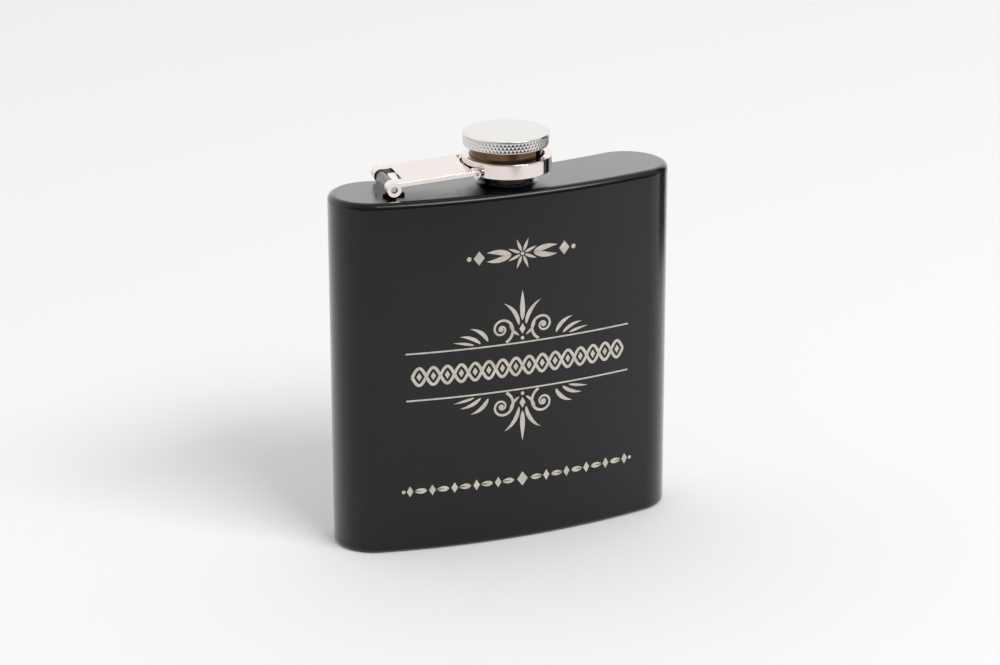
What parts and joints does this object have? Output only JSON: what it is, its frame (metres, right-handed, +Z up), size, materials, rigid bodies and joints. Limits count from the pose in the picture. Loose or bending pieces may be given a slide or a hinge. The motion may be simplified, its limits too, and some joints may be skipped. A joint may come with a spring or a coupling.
{
  "type": "hip flask",
  "caption": "Curved black pocket flask with a knurled screw cap held captive by a hinged arm and ring, and a round pouring mouth.",
  "frame": {"origin": "on the flat underside, straight below the axis of the neck and cap", "axes": "+Z up along the neck; the convex engraved face looks towards -Y; the hinge of the closure is on the -X side"},
  "size_m": [0.094, 0.0268, 0.1093],
  "materials": {
    "body_coat": "fine satin black powder coat on stainless steel",
    "polished_steel": "polished stainless steel, slightly warm",
    "cap_steel": "satin stainless steel with a diamond knurl",
    "insert_steel": "polished stainless steel skirt",
    "pin_steel": "turned stainless steel",
    "etched_steel": "bare matt steel where the coat is etched away",
    "gasket_rubber": "matt white food-grade silicone"
  },
  "bodies": {
    "flask": {"side_wall": "body_coat", "top_plate": "body_coat", "bottom_plate": "body_coat", "neck": "body_coat", "hinge_bracket": "body_coat", "hinge_pin": "pin_steel"},
    "arm": {"arm": "polished_steel", "ring_pin_front": "pin_steel", "ring_pin_back": "pin_steel"},
    "ring": {"captive_ring": "polished_steel"},
    "gasket": {"cap_gasket": "gasket_rubber"},
    "cap": {"cap_shell": "cap_steel", "cap_insert": "insert_steel", "cap_retaining_ring": "pin_steel"}
  },
  "joints": [
    {"name": "arm_swing", "type": "hinge", "parent": "flask", "child": "arm", "pos_m": [-0.03195, 0.00313, 0.09855], "axis": [-0.0976, -0.9952, 0], "range_deg": [0, 170]},
    {"name": "ring_tilt", "type": "hinge", "parent": "arm", "child": "ring", "pos_m": [-0.01015, 0.001, 0.10077], "axis": [-0.0976, -0.9952, 0], "range_deg": [0, 20]},
    {"name": "cap_rise", "type": "slide", "parent": "ring", "child": "gasket", "axis": [0, 0, 1], "range_m": [0, 0.00211]},
    {"name": "cap_turn", "type": "hinge", "parent": "gasket", "child": "cap", "pos_m": [0, 0, 0.1059], "axis": [0, 0, 1], "range_deg": [0, 504]}
  ],
  "couplings": [
    {"joint": "cap_rise", "follows": "cap_turn", "m_per_rad": 0.00023873}
  ]
}
